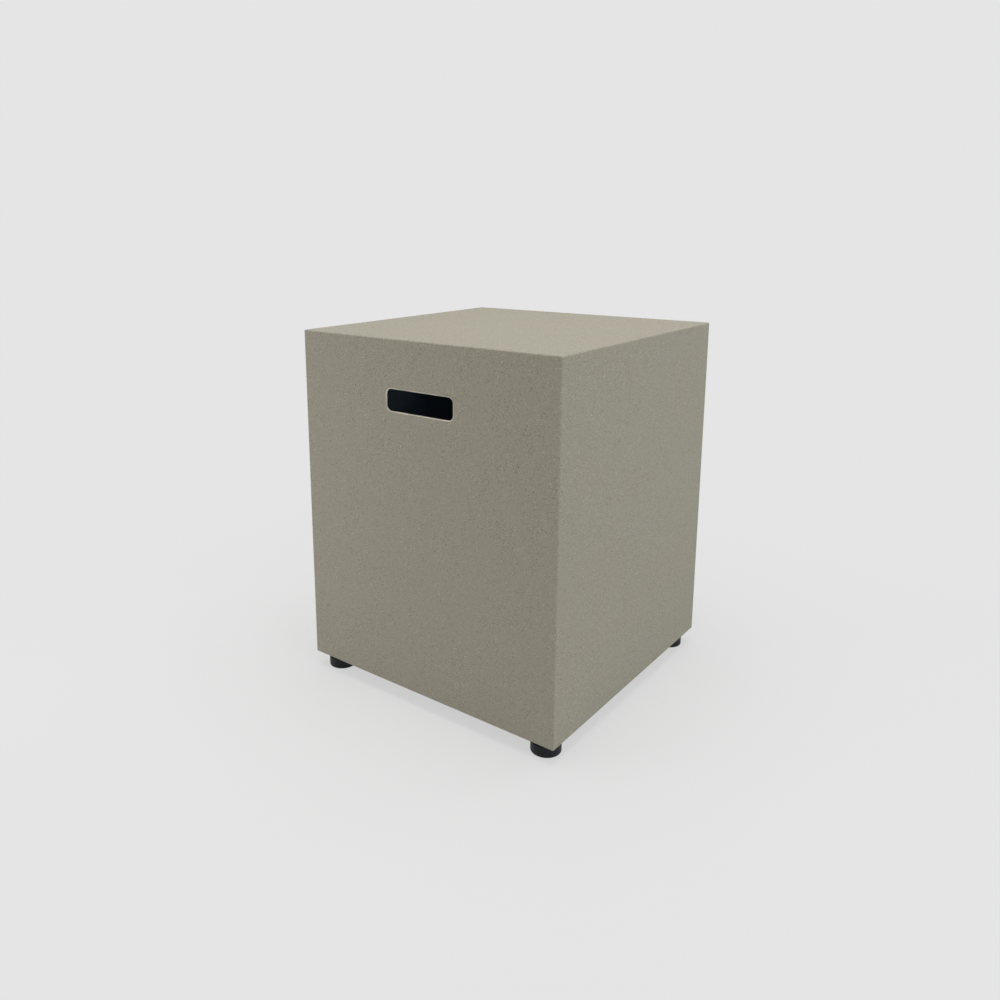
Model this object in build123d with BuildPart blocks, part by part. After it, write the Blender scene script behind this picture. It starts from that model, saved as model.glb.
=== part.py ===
from build123d import *
import math
import os

# Outdoor side table: a square case of folded and welded sheet, open underneath, on four screw feet.
# Millimetres, +Z up. The origin is on the floor under the middle of the case.
# The hand slots are in the front (-Y) and back (+Y) walls.

# Case
width = 400.0
depth = 400.0
case_height = 466.0
sheet = 1.5
corner_bend_inner = 0.75
edge_bend_inner = 0.5
return_width = 16.0
skirt_depth = 20.0
relief_width = 4.0
relief_land = 1.0
mitre_gap = 1.0

# Hand slots
slot_length = 105.0
slot_height = 28.0
slot_corner = 7.0
slot_drop = 77.0

# Hat stiffeners under the top
hat_sheet = 1.2
hat_bend_inner = 1.5
hat_height = 14.0
hat_crown = 36.0
hat_brim = 14.0
hat_spacing = 130.0
hat_end_gap = 6.0

# Corner brackets
foot_inset = 26.5
bracket_sheet = 2.5
bracket_bend_inner = 2.0
bracket_leg = 60.0
bracket_tip = 26.0
bracket_upstand = 26.0
bracket_corner_cut = 10.0

# Thread and nuts
thread_diameter = 8.0
thread_clearance = 0.08
bracket_hole_clearance = 0.5
weld_nut_flats = 14.0
weld_nut_height = 6.5
lock_nut_flats = 13.0
lock_nut_height = 4.0

# Studs
collar_flats = 13.0
collar_height = 4.0
stud_length = 30.0
neck_diameter = 7.0
neck_clearance = 0.08
rivet_diameter = 11.0
rivet_height = 2.2
rivet_lift = 1.7
rivet_play = 0.1

# Pads
pad_diameter = 38.0
pad_height = 14.0
pad_wall = 4.0
pad_web = 4.0
recess_clearance = 1.5
hub_wall = 2.5
rib_count = 6
rib_thickness = 1.8

# Space between a collar and the lock nut over it, with the foot screwed right in
stop_gap = 0.5

# The case's bends as they measure on its outside
corner_bend = corner_bend_inner + sheet
edge_bend = edge_bend_inner + sheet

# The recess under each pad, which takes the stud's rivet head
recess_flats = rivet_diameter + 2 * recess_clearance
recess_depth = rivet_lift + rivet_height + rivet_play

# Heights that follow from the stack of pad, collar, lock nut and bracket
lock_nut_z = pad_height + collar_height + stop_gap
bracket_z = lock_nut_z + lock_nut_height
nut_z = bracket_z + bracket_sheet
case_z = bracket_z - sheet
top_z = case_z + case_height
seam_z = top_z - skirt_depth

# Each corner of the case: the sides it lies on, and the first local axis, which points outward
corners = {
    "front_left": (-1, -1, (-1, 0, 0)),
    "front_right": (1, -1, (0, -1, 0)),
    "back_right": (1, 1, (1, 0, 0)),
    "back_left": (-1, 1, (0, 1, 0)),
}


def foot_frame(side_x, side_y, outward):
    """The floor plane on a foot's axis, with both local axes pointing out of the case."""
    axis_x = side_x * (width / 2 - foot_inset)
    axis_y = side_y * (depth / 2 - foot_inset)
    return Plane(origin=(axis_x, axis_y, 0), x_dir=outward, z_dir=(0, 0, 1))


def upright(frame):
    """The plane through a foot's axis for profiles of radius against height."""
    return Plane(origin=frame.origin, x_dir=frame.x_dir, z_dir=-frame.y_dir)


def foot_axis(frame):
    return Axis(frame.origin, (0, 0, 1))


def wall_half(side):
    """One folded L of the case: two walls with their floor returns, mitred where the halves are welded."""
    slot_z = top_z - slot_drop
    relief_inset = edge_bend + relief_width / 2 + relief_land
    slit_inset = (return_width + relief_inset) / 2
    slit_length = (return_width - relief_inset) * math.sqrt(2)
    with BuildPart() as half:
        with BuildSketch(Plane.XY.offset(case_z)):
            RectangleRounded(width, depth, corner_bend)
        extrude(amount=seam_z - case_z)
        fillet(half.faces().sort_by(Axis.Z)[0].edges(), radius=edge_bend)
        offset(amount=-sheet, openings=half.faces().sort_by(Axis.Z)[-1])

        # A window leaves the floor returns, with a mitre slit and a square relief at each corner
        with BuildSketch(Plane.XY.offset(case_z)):
            Rectangle(width - 2 * return_width, depth - 2 * return_width)
            for side_x, side_y, _ in corners.values():
                with Locations((side_x * (width / 2 - relief_inset), side_y * (depth / 2 - relief_inset))):
                    Rectangle(relief_width, relief_width)
                with Locations((side_x * (width / 2 - slit_inset), side_y * (depth / 2 - slit_inset))):
                    SlotCenterToCenter(slit_length, mitre_gap, rotation=45 * side_x * side_y)
        extrude(amount=sheet, mode=Mode.SUBTRACT)

        # Hand slots through the front and back walls
        with BuildSketch(Plane.XZ):
            with Locations((0, slot_z)):
                RectangleRounded(slot_length, slot_height, slot_corner)
        extrude(amount=depth, both=True, mode=Mode.SUBTRACT)

        # The half on one side of the mitres at the two welded corners
        mitre_x, mitre_y = width / 2 - return_width, depth / 2 - return_width
        past_x, past_y = width / 2 + sheet, depth / 2 + sheet
        with BuildSketch(Plane.XY.offset(case_z)):
            with BuildLine():
                Polyline(
                    (-side * past_x, -side * past_y),
                    (-side * mitre_x, -side * mitre_y),
                    (side * mitre_x, side * mitre_y),
                    (side * past_x, side * past_y),
                    (side * past_x, -side * past_y),
                    close=True,
                )
            make_face()
        extrude(amount=seam_z - case_z, mode=Mode.INTERSECT)
    return half.part


def top_panel():
    """The top: a pan whose folded skirt stands on the walls."""
    with BuildPart() as panel:
        with BuildSketch(Plane.XY.offset(seam_z)):
            RectangleRounded(width, depth, corner_bend)
        extrude(amount=skirt_depth)
        fillet(panel.faces().sort_by(Axis.Z)[-1].edges(), radius=edge_bend)
        offset(amount=-sheet, openings=panel.faces().sort_by(Axis.Z)[0])
    return panel.part


def hat_stiffener(middle_y):
    """A hat section from wall to wall, with its brims against the top's underside."""
    brim_z = top_z - sheet - hat_sheet
    crown_z = top_z - sheet - hat_height
    crown_edge = hat_crown / 2
    brim_edge = crown_edge + hat_brim
    hat_bend = hat_bend_inner + hat_sheet
    length = width - 2 * sheet - 2 * hat_end_gap
    with BuildPart() as hat:
        with BuildSketch(Plane(origin=(0, middle_y, 0), x_dir=(0, 1, 0), z_dir=(1, 0, 0))):
            with BuildLine():
                FilletPolyline(
                    (-brim_edge, brim_z),
                    (-crown_edge, brim_z),
                    (-crown_edge, crown_z),
                    (crown_edge, crown_z),
                    (crown_edge, brim_z),
                    (brim_edge, brim_z),
                    radius=[hat_bend_inner, hat_bend, hat_bend, hat_bend_inner],
                )
                offset(amount=hat_sheet, side=Side.LEFT)
            make_face()
        extrude(amount=length / 2, both=True)
    return hat.part


def corner_bracket(frame):
    """A plate on the floor returns across a corner, with an edge turned up against each wall."""
    wall = foot_inset - sheet
    bend = bracket_bend_inner + bracket_sheet
    plate_edge = wall - bend
    far = wall - bracket_leg
    near = wall - bracket_corner_cut
    tip = far + bracket_tip
    up = Vector(0, 0, 1)
    with BuildPart() as bracket:
        with BuildSketch(frame.offset(bracket_z)):
            with BuildLine():
                Polyline(
                    (plate_edge, far),
                    (plate_edge, near),
                    (near, plate_edge),
                    (far, plate_edge),
                    (far, tip),
                    (tip, far),
                    close=True,
                )
            make_face()
            Circle(thread_diameter / 2 + bracket_hole_clearance, mode=Mode.SUBTRACT)
        extrude(amount=bracket_sheet)
        for run, across in ((frame.y_dir, frame.x_dir), (frame.x_dir, frame.y_dir)):
            section = Plane(origin=frame.origin + run * far, x_dir=across, z_dir=across.cross(up))
            with BuildSketch(section):
                with BuildLine():
                    FilletPolyline(
                        (plate_edge - bracket_sheet, bracket_z),
                        (wall, bracket_z),
                        (wall, bracket_z + bracket_upstand),
                        radius=bend,
                    )
                    offset(amount=bracket_sheet, side=Side.LEFT)
                make_face()
            extrude(amount=near - far, dir=run)
    return bracket.part


def hexagon_nut(frame, base_z, flats, height):
    with BuildPart() as nut:
        with BuildSketch(frame.offset(base_z)):
            RegularPolygon(flats / 2, 6, major_radius=False)
            Circle(thread_diameter / 2 + thread_clearance, mode=Mode.SUBTRACT)
        extrude(amount=height)
    return nut.part


def stud(frame):
    """Shank, hexagon collar, neck and rivet head: the collar stands on the pad and turns there."""
    collar_top = pad_height + collar_height
    rivet_top = rivet_lift + rivet_height
    with BuildPart() as turned:
        with BuildSketch(frame.offset(pad_height)):
            RegularPolygon(collar_flats / 2, 6, major_radius=False)
        extrude(amount=collar_height)
        with BuildSketch(upright(frame)):
            with BuildLine():
                Polyline(
                    (0, rivet_lift),
                    (rivet_diameter / 2, rivet_lift),
                    (rivet_diameter / 2, rivet_top),
                    (neck_diameter / 2, rivet_top),
                    (neck_diameter / 2, pad_height),
                    (thread_diameter / 2, pad_height),
                    (thread_diameter / 2, collar_top + stud_length),
                    (0, collar_top + stud_length),
                    close=True,
                )
            make_face()
        revolve(axis=foot_axis(frame))
    return turned.part


def pad(frame):
    """A moulded foot: pockets between radial ribs below, round a hub with a recess for the rivet head."""
    half_sector = math.pi / rib_count
    hub_outer = recess_flats / 2 + hub_wall
    pocket_outer = pad_diameter / 2 - pad_wall
    pocket_width = 2 * pocket_outer * math.tan(half_sector) - rib_thickness / math.cos(half_sector)
    with BuildPart() as moulding:
        with BuildSketch(frame):
            Circle(pad_diameter / 2)
            Circle(neck_diameter / 2 + neck_clearance, mode=Mode.SUBTRACT)
        extrude(amount=pad_height)
        with BuildSketch(frame):
            with PolarLocations((hub_outer + pocket_outer) / 2, rib_count):
                Trapezoid(
                    pocket_width,
                    pocket_outer - hub_outer,
                    90 - math.degrees(half_sector),
                    rotation=90,
                )
        extrude(amount=pad_height - pad_web, mode=Mode.SUBTRACT)
        with BuildSketch(frame):
            RegularPolygon(
                recess_flats / 2,
                rib_count,
                major_radius=False,
                rotation=math.degrees(half_sector),
            )
        extrude(amount=recess_depth, mode=Mode.SUBTRACT)
    return moulding.part


pieces = {
    "wall_half_front_right": wall_half(1),
    "wall_half_back_left": wall_half(-1),
    "top_panel": top_panel(),
    "stiffener_front": hat_stiffener(-hat_spacing / 2),
    "stiffener_back": hat_stiffener(hat_spacing / 2),
}
for corner, place in corners.items():
    frame = foot_frame(*place)
    pieces[f"bracket_{corner}"] = corner_bracket(frame)
    pieces[f"weld_nut_{corner}"] = hexagon_nut(frame, nut_z, weld_nut_flats, weld_nut_height)
    pieces[f"lock_nut_{corner}"] = hexagon_nut(frame, lock_nut_z, lock_nut_flats, lock_nut_height)
    pieces[f"stud_{corner}"] = stud(frame)
    pieces[f"pad_{corner}"] = pad(frame)

os.makedirs("parts", exist_ok=True)
for name, piece in pieces.items():
    piece.label = name
    export_step(piece, f"parts/{name}.step")
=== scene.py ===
import math

import bmesh
import bpy
from mathutils import Matrix, Vector

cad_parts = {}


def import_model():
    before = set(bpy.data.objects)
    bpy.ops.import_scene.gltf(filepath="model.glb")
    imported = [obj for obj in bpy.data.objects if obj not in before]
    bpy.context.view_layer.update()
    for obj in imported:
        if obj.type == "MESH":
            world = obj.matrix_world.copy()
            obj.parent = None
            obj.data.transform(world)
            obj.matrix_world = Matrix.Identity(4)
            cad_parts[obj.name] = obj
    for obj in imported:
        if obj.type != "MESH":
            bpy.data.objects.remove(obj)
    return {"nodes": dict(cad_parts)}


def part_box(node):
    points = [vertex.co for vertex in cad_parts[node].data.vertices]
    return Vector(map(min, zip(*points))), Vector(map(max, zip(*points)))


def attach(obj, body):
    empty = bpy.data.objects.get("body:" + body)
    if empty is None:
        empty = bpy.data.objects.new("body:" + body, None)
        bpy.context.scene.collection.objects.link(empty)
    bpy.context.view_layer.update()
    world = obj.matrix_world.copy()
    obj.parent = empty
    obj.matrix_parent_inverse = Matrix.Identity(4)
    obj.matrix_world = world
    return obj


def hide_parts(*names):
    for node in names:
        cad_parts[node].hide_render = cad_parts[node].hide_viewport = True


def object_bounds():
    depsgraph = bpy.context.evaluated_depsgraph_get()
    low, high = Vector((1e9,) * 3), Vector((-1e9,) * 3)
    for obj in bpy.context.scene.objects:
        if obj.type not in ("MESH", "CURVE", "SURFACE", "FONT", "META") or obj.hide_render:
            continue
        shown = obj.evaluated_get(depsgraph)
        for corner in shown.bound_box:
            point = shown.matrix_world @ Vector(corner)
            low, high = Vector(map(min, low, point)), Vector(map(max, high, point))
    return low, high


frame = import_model()
cad_lo, cad_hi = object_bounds()

# Case, in metres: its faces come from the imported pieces, its fine sizes are the part's own
half_width = cad_hi.x
half_depth = cad_hi.y
top_z = cad_hi.z
case_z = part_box("wall_half_front_right")[0].z
seam_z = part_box("top_panel")[0].z
sheet = 0.0015
sheet_easing = 0.0003
slot_length = 0.105
slot_height = 0.028
slot_drop = 0.077
slot_z = top_z - slot_drop
slot_easing = 0.0012
hat_sheet = 0.0012
hat_crown = 0.036
hat_brim = 0.014

# Feet: sizes in metres, the rivet head's profile in shares of its radius and height
corners = ("front_left", "front_right", "back_right", "back_left")
rivet_radius = 0.0055
rivet_height = 0.0022
rivet_profile = ((0.55, 0.0), (0.85, 0.15), (1.0, 0.5), (1.0, 1.0))
neck_radius = 0.0035
collar_height = 0.004
thread_pitch = 0.00125
thread_depth = 0.00077
thread_crest = 0.00397
thread_run_out = 0.0012
tip_chamfer = 0.0009
rows_per_pitch = 8
nut_bore = 0.00405
nut_countersink = 0.0005
bearing_share = 0.475
pad_rim = 0.0013
pocket_easing = 0.0003

# Welds that show from below: sizes in metres, a spot's profile in shares of its radius and depths
bead_size = 0.0028
stitch_length = 0.032
ripple_length = 0.0022
ripple_depth = 0.14
corner_stitches = 4
seam_stitch_places = (-0.12, -0.04, 0.04, 0.12)
spot_radius = 0.003
spot_profile = ((1.0, 0.0), (0.92, 0.00016), (0.78, 0.00018), (0.60, 0.00005))
spots_in_row = 8

# How near counts as touching, and how steep as sharp, when edges and faces are picked out
touching = 1e-5
same_place = 1e-6
rim_margin = 1e-4
flat_angle = math.radians(0.2)
sharp_angle = math.radians(50)

# Colours, linear
coat_colour = (0.325, 0.304, 0.246, 1)
primer_colour = (0.120, 0.165, 0.225, 1)
nylon_colour = (0.010, 0.0115, 0.014, 1)
dust_colour = (0.05, 0.048, 0.044, 1)
zinc_cool = (0.60, 0.62, 0.64, 1)
zinc_warm = (0.64, 0.61, 0.54, 1)

# Stone coat: sizes in metres, and shades and casts as factors of the coat's colour
grit_size = 0.0013
grain_size = 0.0014
highlight_and_wear_size = 0.018
patch_size = 0.035
cloud_size = 0.09
dark_share = 0.44
pale_share = 0.44
grain_cover = 0.85
grain_relief = 0.35
dark_shade = 0.40
pale_shade = 1.68
grit_dark = 0.74
grit_pale = 1.24
# The hand slot rim's paler shade: partly a thin worn coat, partly a painted highlight
highlight_and_wear_shade = 2.5
warm_cast = (1.012, 0.998, 0.985)
cool_cast = (0.986, 1.0, 1.009)
# How strongly the slot's rim takes that paler coat, partly wear and partly a painted highlight
rim_highlight_and_wear = 1.0

# Studio, in metres: the floor is dark under the case's middle and fades to the backdrop far off
backdrop_colour = (0.783, 0.783, 0.783, 1)
floor_colour = (0.72, 0.72, 0.72, 1)
floor_reach = 60.0
dark_floor_end = 0.09
lit_floor_start = 0.13
fade_start = 0.25
fade_end = 0.8
near_evenness = 0.72
world_strength = 0.34
warm_light = (1.0, 0.985, 0.95)
cool_light = (0.92, 1.0, 1.0)


# Node graphs

def add(tree, kind, inputs=None, **settings):
    """A shader node with its settings, and with its inputs linked or set."""
    node = tree.nodes.new("ShaderNode" + kind)
    for key, value in settings.items():
        setattr(node, key, value)
    for key, value in (inputs or {}).items():
        if isinstance(value, bpy.types.NodeSocket):
            tree.links.new(value, node.inputs[key])
        else:
            node.inputs[key].default_value = value
    return node


def empty_material(name):
    material = bpy.data.materials.new(name)
    material.use_nodes = True
    material.node_tree.nodes.clear()
    return material, material.node_tree


def new_material(name):
    """A material, its tree, its principled shader and the place of each point on the object."""
    material, tree = empty_material(name)
    shader = add(tree, "BsdfPrincipled")
    output = add(tree, "OutputMaterial")
    tree.links.new(shader.outputs["BSDF"], output.inputs["Surface"])
    place = add(tree, "TexCoord").outputs["Object"]
    return material, tree, shader, place


def dress(tree, shader, colour, roughness, normal):
    """Joins a varying colour, roughness and normal to a shader."""
    tree.links.new(colour, shader.inputs["Base Color"])
    tree.links.new(roughness, shader.inputs["Roughness"])
    tree.links.new(normal, shader.inputs["Normal"])


def noise(tree, place, size, detail=2.0, roughness=0.5):
    """Noise whose lumps are about one size across, in metres."""
    inputs = {"Vector": place, "Scale": 1 / size, "Detail": detail, "Roughness": roughness}
    return add(tree, "TexNoise", inputs).outputs["Fac"]


def ramp(tree, value, low, high, out_low=0.0, out_high=1.0):
    """A value stretched so that low comes out as out_low and high as out_high."""
    limits = {"From Min": low, "From Max": high, "To Min": out_low, "To Max": out_high}
    return add(tree, "MapRange", {"Value": value, **limits}).outputs["Result"]


def combine(tree, operation, first, second):
    return add(tree, "Math", {0: first, 1: second}, operation=operation).outputs["Value"]


def fraction(tree, value):
    return add(tree, "Math", {0: value}, operation="FRACT").outputs["Value"]


def vector(tree, operation, *inputs):
    """A vector operation on its inputs, in their order."""
    return add(tree, "VectorMath", dict(enumerate(inputs)), operation=operation).outputs


def mix_colour(tree, factor, first, second):
    return add(tree, "Mix", {0: factor, 6: first, 7: second}, data_type="RGBA").outputs[2]


def mix_shader(tree, factor, first, second):
    return add(tree, "MixShader", {0: factor, 1: first, 2: second}).outputs["Shader"]


def bump(tree, height, distance, strength):
    inputs = {"Height": height, "Distance": distance, "Strength": strength}
    return add(tree, "Bump", inputs).outputs["Normal"]


def shade(colour, factor):
    """A colour made lighter or darker by a factor."""
    return (*(channel * factor for channel in colour[:3]), 1)


def tint(colour, cast):
    """A colour with a factor of its own for each channel."""
    return (*(channel * factor for channel, factor in zip(colour, cast)), 1)


# Materials

def grain_cells(tree, place, size):
    """Ragged cells of about one size: the distance to each cell's middle, and the cell's number."""
    raggedness = 1.6
    middle_grey = (0.5, 0.5, 0.5)
    scatter = (17.1, 31.7, 23.3)
    ragged = add(tree, "TexNoise", {"Vector": place, "Scale": raggedness / size, "Detail": 2.0})
    centred = vector(tree, "SUBTRACT", ragged.outputs["Color"], middle_grey)["Vector"]
    moved = vector(tree, "MULTIPLY_ADD", centred, (size, size, size), place)["Vector"]
    cells = add(tree, "TexVoronoi", {"Vector": moved, "Scale": 1 / size, "Randomness": 1.0}).outputs
    number = vector(tree, "DOT_PRODUCT", cells["Color"], scatter)["Value"]
    return cells["Distance"], fraction(tree, number)


def coat_grains(tree, place):
    """Masks of the coat's dark and pale grains, whose reach differs by grain and by patch."""
    largest = 0.5
    soft_edge = 0.1
    patches = noise(tree, place, patch_size)
    density = ramp(tree, patches, low=0.35, high=0.65, out_low=0.86, out_high=1.06)
    distance, number = grain_cells(tree, place, grain_size)
    dark_reach = ramp(tree, number, low=dark_share, high=0.0, out_high=largest)
    pale_reach = ramp(tree, number, low=1 - pale_share, high=1.0, out_high=largest)
    masks = []
    for reach in (dark_reach, pale_reach):
        inside = combine(tree, "SUBTRACT", combine(tree, "MULTIPLY", density, reach), distance)
        masks.append(ramp(tree, inside, low=0.0, high=soft_edge))
    return masks


def coat_ground(tree, place, grit, highlight_and_wear):
    """The coat's colour under its grains: faint warm and cool clouds, paler patches that are partly
    worn coat and partly a painted highlight, and grit.
    """
    least_highlight_and_wear = 0.4 * highlight_and_wear
    grit_share = 0.6 - 0.3 * highlight_and_wear
    clouds = noise(tree, place, cloud_size, detail=3.0, roughness=0.6)
    coolness = ramp(tree, clouds, low=0.35, high=0.65)
    colour = mix_colour(tree, coolness, tint(coat_colour, warm_cast), tint(coat_colour, cool_cast))
    # Paler patches, partly a thin worn coat and partly a painted highlight
    highlight_and_wear_patches = noise(tree, place, highlight_and_wear_size, detail=3.0)
    highlight_and_wear_mask = ramp(tree, highlight_and_wear_patches, low=0.36, high=0.54, out_low=least_highlight_and_wear, out_high=highlight_and_wear)
    colour = mix_colour(tree, highlight_and_wear_mask, colour, shade(coat_colour, highlight_and_wear_shade))
    paleness = ramp(tree, grit, low=0.3, high=0.7)
    darkest = shade(coat_colour, grit_dark)
    palest = shade(coat_colour, grit_pale)
    gritty = mix_colour(tree, paleness, darkest, palest)
    return mix_colour(tree, grit_share, colour, gritty)


def stone_coat(name, highlight_and_wear):
    """Matt sand-textured coat with dark and pale grains, paler in patches by its last argument:
    partly worn coat, partly a painted highlight.
    """
    material, tree, shader, place = new_material(name)
    grit = noise(tree, place, grit_size, detail=3.0, roughness=0.6)
    dark, pale = coat_grains(tree, place)
    colour = coat_ground(tree, place, grit, highlight_and_wear)
    for mask, factor in ((dark, dark_shade), (pale, pale_shade)):
        cover = combine(tree, "MULTIPLY", mask, grain_cover)
        colour = mix_colour(tree, cover, colour, shade(coat_colour, factor))
    raised = combine(tree, "ADD", grit, combine(tree, "MULTIPLY", pale, grain_relief))
    height = combine(tree, "SUBTRACT", raised, combine(tree, "MULTIPLY", dark, grain_relief))
    roughness = ramp(tree, grit, low=0.0, high=1.0, out_low=0.78, out_high=0.92)
    dress(tree, shader, colour, roughness, bump(tree, height, distance=0.0006, strength=0.8))
    shader.inputs["Specular IOR Level"].default_value = 0.25
    return material


def dark_primer():
    """Thin blue-grey primer inside the case, with orange peel and a little dust."""
    material, tree, shader, place = new_material("dark_primer")
    peel = noise(tree, place, size=0.004)
    patches = noise(tree, place, size=0.05, detail=4.0, roughness=0.65)
    dust = ramp(tree, patches, low=0.48, high=0.75)
    cover = combine(tree, "MULTIPLY", dust, 0.35)
    colour = mix_colour(tree, cover, primer_colour, shade(primer_colour, 2.0))
    roughness = ramp(tree, dust, low=0.0, high=1.0, out_low=0.45, out_high=0.7)
    dress(tree, shader, colour, roughness, bump(tree, peel, distance=0.0002, strength=0.25))
    return material


def black_nylon():
    """Moulded black nylon with a fine eroded texture, and some dust near the floor."""
    dust_height = 0.006
    material, tree, shader, place = new_material("black_nylon")
    texture = noise(tree, place, size=0.0007)
    smear = noise(tree, place, size=0.006, detail=3.0)
    height = add(tree, "SeparateXYZ", {"Vector": place}).outputs["Z"]
    lowness = ramp(tree, height, low=dust_height, high=0.0)
    dust = combine(tree, "MULTIPLY", lowness, ramp(tree, smear, low=0.45, high=0.75))
    cover = combine(tree, "MULTIPLY", dust, 0.3)
    colour = mix_colour(tree, cover, nylon_colour, dust_colour)
    roughness = ramp(tree, smear, low=0.0, high=1.0, out_low=0.42, out_high=0.6)
    dress(tree, shader, colour, roughness, bump(tree, texture, distance=0.0001, strength=0.35))
    shader.inputs["Specular IOR Level"].default_value = 0.2
    return material


def bright_zinc():
    """Zinc plating on turned steel: fine mottle with a faint warm and blue cast."""
    material, tree, shader, place = new_material("bright_zinc")
    mottle = noise(tree, place, size=0.003, detail=3.0)
    warmth = ramp(tree, noise(tree, place, size=0.012), low=0.35, high=0.65)
    colour = mix_colour(tree, warmth, zinc_cool, zinc_warm)
    roughness = ramp(tree, mottle, low=0.0, high=1.0, out_low=0.26, out_high=0.46)
    dress(tree, shader, colour, roughness, bump(tree, mottle, distance=0.00005, strength=0.3))
    shader.inputs["Metallic"].default_value = 1.0
    return material


coat = stone_coat("stone_coat", 0.0)
# The hand slot's rim coat: paler, partly a thin worn coat and partly a painted highlight
coat_highlit_rim = stone_coat("stone_coat_highlit_rim", rim_highlight_and_wear)
primer = dark_primer()
nylon = black_nylon()
zinc = bright_zinc()


# Pieces

def add_object(name, data):
    item = bpy.data.objects.new(name, data)
    bpy.context.scene.collection.objects.link(item)
    return item


def make_piece(work, name, body, materials, node=None, smooth_angle=30):
    """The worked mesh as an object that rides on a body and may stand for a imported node."""
    mesh = bpy.data.meshes.new(name)
    work.to_mesh(mesh)
    work.free()
    for material in materials:
        mesh.materials.append(material)
    piece = add_object(name, mesh)
    mesh.shade_smooth()
    mesh.set_sharp_from_angle(angle=math.radians(smooth_angle))
    even = piece.modifiers.new("even_shading", "WEIGHTED_NORMAL")
    even.keep_sharp = True
    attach(piece, body)
    if node:
        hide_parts(node)


def welded_copy(node):
    """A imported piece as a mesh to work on, its vertices joined and its flat faces whole."""
    work = bmesh.new()
    work.from_mesh(frame["nodes"][node].data)
    bmesh.ops.remove_doubles(work, verts=work.verts, dist=same_place)
    bmesh.ops.dissolve_limit(work, angle_limit=flat_angle, verts=work.verts, edges=work.edges)
    return work


def is_sharp(edge):
    return len(edge.link_faces) == 2 and edge.calc_face_angle() > sharp_angle


def ease(work, edges, size, segments):
    """Rounds some edges of a mesh."""
    bmesh.ops.bevel(work, geom=edges, offset=size, segments=segments, profile=0.5, affect="EDGES")


# Case

def in_slot(place):
    """Whether a point lies on the rim or within the thickness of a hand slot."""
    margin = slot_easing + touching
    return (
        half_depth - abs(place.y) < sheet + touching
        and abs(place.x) < slot_length / 2 + margin
        and abs(place.z - slot_z) < slot_height / 2 + margin
    )


def on_slot_rim(edge):
    """Whether an edge lies on the outer rim of a hand slot."""
    ends = [vertex.co for vertex in edge.verts]
    outermost = all(half_depth - abs(end.y) < touching for end in ends)
    return is_sharp(edge) and outermost and all(in_slot(end) for end in ends)


def is_outside(face):
    """Whether a face of the case belongs to its outer skin, which carries the coat."""
    skin = sheet * 0.9
    centre = face.calc_center_median()
    walls = (
        (centre.x, half_width, face.normal.x),
        (centre.y, half_depth, face.normal.y),
    )
    for place, reach, way in walls:
        if reach - abs(place) < skin and way * place > 0:
            return True
    lid = top_z - centre.z < skin and face.normal.z > 0
    underside = centre.z - case_z < skin and face.normal.z < 0
    return lid or underside


def case_shell(node, name):
    """A piece of the case: stone coat outside, primer inside, with the hand slot's rim eased and in
    a paler coat, partly wear and partly a painted highlight.
    """
    outside, highlit_rim, inside = 0, 1, 2
    work = welded_copy(node)
    rims = [edge for edge in work.edges if on_slot_rim(edge)]
    if rims:
        ease(work, rims, slot_easing, 3)
    for face in work.faces:
        if all(in_slot(vertex.co) for vertex in face.verts):
            face.material_index = highlit_rim
        else:
            face.material_index = outside if is_outside(face) else inside
    make_piece(work, name, "case", (coat, coat_highlit_rim, primer), node)


def eased_sheet(node, name):
    """A folded piece inside the case, with the cut edges of its sheet eased."""
    work = welded_copy(node)
    ease(work, [edge for edge in work.edges if is_sharp(edge)], sheet_easing, 2)
    make_piece(work, name, "case", (primer,), node)


case_shell("wall_half_front_right", "coated_wall_front_right")
case_shell("wall_half_back_left", "coated_wall_back_left")
case_shell("top_panel", "coated_top")
for side in ("front", "back"):
    eased_sheet(f"stiffener_{side}", f"hat_stiffener_{side}")
for corner in corners:
    eased_sheet(f"bracket_{corner}", f"corner_bracket_{corner}")


# Round and hexagonal pieces, made of rings about an upright axis

def circle(radius, height):
    """A ring that has the same radius and height at every angle."""
    return lambda angle: (radius, height)


def bearing_radius(flats):
    """The round flat that is left of a hexagon's end face inside its cone."""
    return flats * bearing_share


def hexagon(flats, height, way):
    """A hexagon's rim cut by a 30 degree cone: way is 1 for an upper rim, -1 for a lower one."""
    sixth = math.pi / 3
    slope = math.tan(math.pi / 6)

    def place(angle):
        radius = flats / 2 / math.cos(angle % sixth - sixth / 2)
        return radius, height - way * (radius - bearing_radius(flats)) * slope
    return place


def thread_row(height, start, end):
    """One ring of a right-hand thread, which runs out at its foot and is chamfered at its tip."""
    crest_share = 0.125
    root_share = 0.25

    def place(angle):
        turn = (height / thread_pitch - angle / (2 * math.pi)) % 1
        from_crest = abs(2 * turn - 1)
        cut = (from_crest - crest_share) / (1 - crest_share - root_share)
        depth = thread_depth * min(max(cut, 0), 1) * min((height - start) / thread_run_out, 1)
        tip_limit = thread_crest - tip_chamfer + (end - height)
        return min(thread_crest - depth, tip_limit), height
    return place


def lathe(work, rings, base, turn=0.0, columns=36, closed=False):
    """Adds a skin through rings about an axis, either closed on itself or with flat ends."""
    rows = []
    for ring in rings:
        row = []
        for column in range(columns):
            angle = 2 * math.pi * column / columns
            radius, height = ring(angle)
            across = Vector((math.cos(angle + turn), math.sin(angle + turn), 0)) * radius
            row.append(work.verts.new((base.x + across.x, base.y + across.y, height)))
        rows.append(row)
    pairs = list(zip(rows, rows[1:]))
    if closed:
        pairs.append((rows[-1], rows[0]))
    else:
        work.faces.new(list(reversed(rows[0])))
        work.faces.new(rows[-1])
    for lower, upper in pairs:
        for column in range(columns):
            after = (column + 1) % columns
            work.faces.new((lower[column], lower[after], upper[after], upper[column]))


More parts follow.
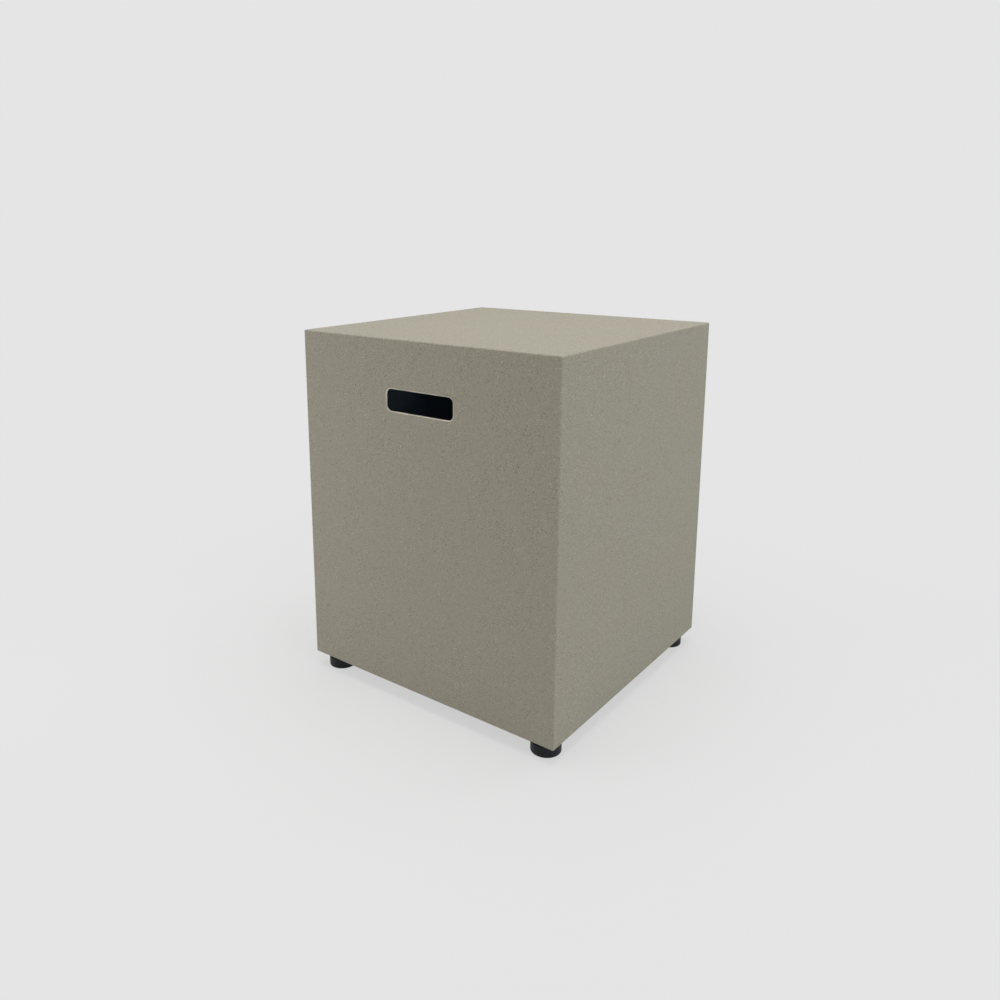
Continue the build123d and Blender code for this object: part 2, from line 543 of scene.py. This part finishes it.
def measure(node):
    """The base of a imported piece's axis, its top, its width and the turn of its first corner."""
    low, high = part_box(node)
    size = high - low
    base = Vector(((low.x + high.x) / 2, (low.y + high.y) / 2, low.z))
    turn = 0.0 if size.x > size.y else math.pi / 2
    return base, high.z, min(size.x, size.y), turn


def nut(node, name, material):
    """A hexagon nut with coned corners and a countersunk bore."""
    base, top, flats, turn = measure(node)
    mouth = nut_bore + nut_countersink
    face = bearing_radius(flats)
    rings = (
        circle(nut_bore, base.z + nut_countersink),
        circle(mouth, base.z),
        circle(face, base.z),
        hexagon(flats, base.z, -1),
        hexagon(flats, top, 1),
        circle(face, top),
        circle(mouth, top),
        circle(nut_bore, top - nut_countersink),
    )
    work = bmesh.new()
    lathe(work, rings, base, turn, closed=True)
    bmesh.ops.recalc_face_normals(work, faces=work.faces)
    make_piece(work, name, "case", (material,), node, smooth_angle=25)


def threaded_stud(corner):
    """Rivet head, neck, hexagon collar and threaded shank, in one skin."""
    node = f"stud_{corner}"
    base, tip, flats, turn = measure(node)
    collar_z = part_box(f"pad_{corner}")[1].z
    shank_z = collar_z + collar_height
    rivet_top = base.z + rivet_height
    face = bearing_radius(flats)
    rivet = [circle(rivet_radius * wide, base.z + rivet_height * up) for wide, up in rivet_profile]
    rings = [
        *rivet,
        circle(neck_radius, rivet_top),
        circle(neck_radius, collar_z),
        circle(face, collar_z),
        hexagon(flats, collar_z, -1),
        hexagon(flats, shank_z, 1),
        circle(face, shank_z),
        circle(thread_crest, shank_z),
    ]
    rows = round((tip - shank_z) / thread_pitch * rows_per_pitch)
    for row in range(1, rows + 1):
        height = shank_z + (tip - shank_z) * row / rows
        rings.append(thread_row(height, shank_z, tip))
    work = bmesh.new()
    lathe(work, rings, base, turn)
    bmesh.ops.recalc_face_normals(work, faces=work.faces)
    name = f"threaded_stud_{corner}"
    make_piece(work, name, f"screw_{corner}", (zinc,), node, smooth_angle=25)


def moulded_pad(corner):
    """A pad with rounded outer rims, and with the edges of the pockets under it eased."""
    node = f"pad_{corner}"
    base, _, width, _ = measure(node)
    work = welded_copy(node)
    rims, pockets = [], []
    for edge in work.edges:
        ends = [vertex.co for vertex in edge.verts]
        level = abs(ends[0].z - ends[1].z) < same_place
        if is_sharp(edge) and level:
            outermost = all((end.xy - base.xy).length > width / 2 - rim_margin for end in ends)
            if outermost:
                rims.append(edge)
            elif ends[0].z < base.z + same_place:
                pockets.append(edge)
    ease(work, pockets, pocket_easing, 2)
    rims = [edge for edge in rims if edge.is_valid]
    ease(work, rims, pad_rim, 4)
    make_piece(work, f"moulded_pad_{corner}", f"foot_{corner}", (nylon,), node)


for corner in corners:
    nut(f"weld_nut_{corner}", f"hexagon_weld_nut_{corner}", primer)
    nut(f"lock_nut_{corner}", f"thin_lock_nut_{corner}", zinc)
    threaded_stud(corner)
    moulded_pad(corner)


# Welds

def bead(work, middle, along, first, second, sweep=math.pi / 2):
    """A rippled stitch of weld about a line, over the faces that first and second run along."""
    steps_per_ripple = 4
    steps = round(stitch_length / ripple_length) * steps_per_ripple
    arc_steps = 6
    end_size = 0.45
    end_slope = 8
    rows = []
    for step in range(steps + 1):
        share = step / steps
        ripple = 1 - ripple_depth * abs(math.sin(math.pi * step / steps_per_ripple))
        taper = min(1, end_size + end_slope * min(share, 1 - share))
        centre = middle + along * stitch_length * (share - 0.5)
        row = [work.verts.new(centre)]
        for arc_step in range(arc_steps + 1):
            angle = sweep * arc_step / arc_steps
            out = first * math.cos(angle) + second * math.sin(angle)
            row.append(work.verts.new(centre + out * bead_size * ripple * taper))
        rows.append(row)
    for before, after in zip(rows, rows[1:]):
        for index in range(len(before)):
            following = (index + 1) % len(before)
            work.faces.new((before[index], before[following], after[following], after[index]))
    work.faces.new(rows[0])
    work.faces.new(list(reversed(rows[-1])))


def weld_piece(work, name):
    bmesh.ops.recalc_face_normals(work, faces=work.faces)
    make_piece(work, name, "case", (primer,), smooth_angle=50)


def corner_welds():
    """Stitches up the inside of the two corners where the wall halves meet."""
    work = bmesh.new()
    bracket_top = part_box("bracket_front_left")[1].z
    spacing = (seam_z - bracket_top) / corner_stitches
    for side in (-1, 1):
        x, y = side * (half_width - sheet), side * (half_depth - sheet)
        for stitch in range(corner_stitches):
            middle = Vector((x, y, bracket_top + spacing * (stitch + 0.5)))
            bead(work, middle, Vector((0, 0, 1)), Vector((-side, 0, 0)), Vector((0, -side, 0)))
    weld_piece(work, "corner_welds")


def seam_welds():
    """Flat stitches inside, over the butt joint of the walls and the top's skirt."""
    flatness = 0.4
    work = bmesh.new()
    up = Vector((0, 0, 1))
    for side in (-1, 1):
        for place in seam_stitch_places:
            across_x = Vector((side * (half_width - sheet), place, seam_z))
            across_y = Vector((place, side * (half_depth - sheet), seam_z))
            bead(work, across_x, Vector((0, 1, 0)), up, Vector((-side * flatness, 0, 0)), math.pi)
            bead(work, across_y, Vector((1, 0, 0)), up, Vector((0, -side * flatness, 0)), math.pi)
    weld_piece(work, "seam_welds")


def bracket_welds():
    """A stitch along the upper edge of each bracket's two upstands."""
    flatness = 0.85
    work = bmesh.new()
    up = Vector((0, 0, 1))
    for corner in corners:
        low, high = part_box(f"bracket_{corner}")
        middle = (low + high) / 2
        side_x, side_y = math.copysign(1, middle.x), math.copysign(1, middle.y)
        at_x = Vector((side_x * (half_width - sheet), middle.y, high.z))
        at_y = Vector((middle.x, side_y * (half_depth - sheet), high.z))
        bead(work, at_x, Vector((0, 1, 0)), up, Vector((-side_x * flatness, 0, 0)))
        bead(work, at_y, Vector((1, 0, 0)), up, Vector((0, -side_y * flatness, 0)))
    weld_piece(work, "bracket_welds")


def spot_welds(side):
    """Two rows of round spot-weld marks on the brims of a hat stiffener."""
    low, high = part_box(f"stiffener_{side}")
    brim_z = high.z - hat_sheet
    brim_middle = hat_crown / 2 + hat_brim / 2
    mark = [circle(spot_radius * wide, brim_z - depth) for wide, depth in spot_profile]
    work = bmesh.new()
    spacing = (high.x - low.x) / spots_in_row
    for spot in range(spots_in_row):
        for way in (-1, 1):
            x = low.x + spacing * (spot + 0.5)
            y = (low.y + high.y) / 2 + way * brim_middle
            lathe(work, mark, Vector((x, y, brim_z)), columns=20)
    weld_piece(work, f"spot_welds_{side}")


corner_welds()
seam_welds()
bracket_welds()
for side in ("front", "back"):
    spot_welds(side)


# Studio

def direct_view(tree):
    """1 where a surface is seen by the camera, straight or through a reflection."""
    seen = add(tree, "LightPath").outputs
    glossy = combine(tree, "MAXIMUM", seen["Is Camera Ray"], seen["Is Glossy Ray"])
    return combine(tree, "MAXIMUM", glossy, seen["Is Transmission Ray"])


def floor_evenness(tree):
    """How far the floor takes on the backdrop's grey where it is seen."""
    place = add(tree, "TexCoord").outputs["Object"]
    sides = vector(tree, "ABSOLUTE", place)["Vector"]
    across = add(tree, "SeparateXYZ", {"Vector": sides}).outputs
    away = combine(tree, "MAXIMUM", across["X"], across["Y"])
    lit = ramp(tree, away, low=dark_floor_end, high=lit_floor_start)
    fade = ramp(tree, away, low=fade_start, high=fade_end, out_low=near_evenness)
    return combine(tree, "MULTIPLY", combine(tree, "MULTIPLY", lit, fade), direct_view(tree))


def pale_floor():
    """The floor's finish: it takes the shadow, fades into the backdrop and is clear from below."""
    material, tree = empty_material("pale_floor")
    matt = add(tree, "BsdfDiffuse", {"Color": floor_colour}).outputs["BSDF"]
    even = add(tree, "Emission", {"Color": backdrop_colour}).outputs["Emission"]
    above = mix_shader(tree, floor_evenness(tree), matt, even)
    below = add(tree, "BsdfTransparent").outputs["BSDF"]
    from_below = add(tree, "NewGeometry").outputs["Backfacing"]
    surface = mix_shader(tree, from_below, above, below)
    tree.links.new(surface, add(tree, "OutputMaterial").inputs["Surface"])
    return material


def floor():
    """A wide plane under the table, which is no part of it."""
    mesh = bpy.data.meshes.new("floor")
    low, high = -floor_reach, floor_reach
    outline = [(low, low, 0), (high, low, 0), (high, high, 0), (low, high, 0)]
    mesh.from_pydata(outline, [], [(0, 1, 2, 3)])
    mesh.materials.append(pale_floor())
    ground = add_object("floor", mesh)


def world():
    """Even soft light from all round, and a plain pale grey where the background is seen."""
    surroundings = bpy.data.worlds.new("studio")
    bpy.context.scene.world = surroundings
    surroundings.use_nodes = True
    tree = surroundings.node_tree
    tree.nodes.clear()
    light = add(tree, "Background", {"Color": (1, 1, 1, 1), "Strength": world_strength})
    shown = add(tree, "Background", {"Color": backdrop_colour, "Strength": 1.0})
    outputs = light.outputs["Background"], shown.outputs["Background"]
    surface = mix_shader(tree, direct_view(tree), *outputs)
    tree.links.new(surface, add(tree, "OutputWorld").inputs["Surface"])


def soft_light(name, place, target, size, power, colour=(1, 1, 1)):
    """A round lamp that looks at a target."""
    lamp = bpy.data.lights.new(name, "AREA")
    lamp.shape = "DISK"
    lamp.size = size
    lamp.energy = power
    lamp.color = colour
    light = add_object(name, lamp)
    light.location = place
    light.rotation_euler = (Vector(target) - Vector(place)).to_track_quat("-Z", "Y").to_euler()


def camera():
    """The photograph's own view, worked out from the edges of the case."""
    place = Vector((0.6643, -0.9733, 0.6217))
    forward = Vector((-0.6029, 0.7700, -0.2087)).normalized()
    right = Vector((0.7878, 0.6159, -0.0034)).normalized()
    up = right.cross(forward)
    lens = bpy.data.cameras.new("camera")
    lens.sensor_width = 36
    lens.lens = 30.88
    lens.shift_x = 0.0432
    lens.shift_y = -0.0911
    lens.clip_end = 200
    view = add_object("camera", lens)
    turn = Matrix((right, up, -forward)).transposed().to_4x4()
    view.matrix_world = Matrix.Translation(place) @ turn
    bpy.context.scene.camera = view


floor()
world()
soft_light("overhead", place=(0.1, -0.1, 2.2), target=(0, 0, 0.4), size=1.8, power=34.0)
soft_light(
    "side",
    place=(2.3, -0.45, 0.42),
    target=(0.2, 0, 0.25),
    size=1.4,
    power=16.0,
    colour=cool_light,
)
soft_light(
    "fill",
    place=(-0.8, -0.95, 0.36),
    target=(-0.1, -0.2, 0.25),
    size=0.8,
    power=3.6,
    colour=warm_light,
)
soft_light("back", place=(1.1, 1.8, 0.74), target=(0, 0.2, 0.38), size=0.6, power=6)
camera()
bpy.context.scene.view_settings.view_transform = "Standard"
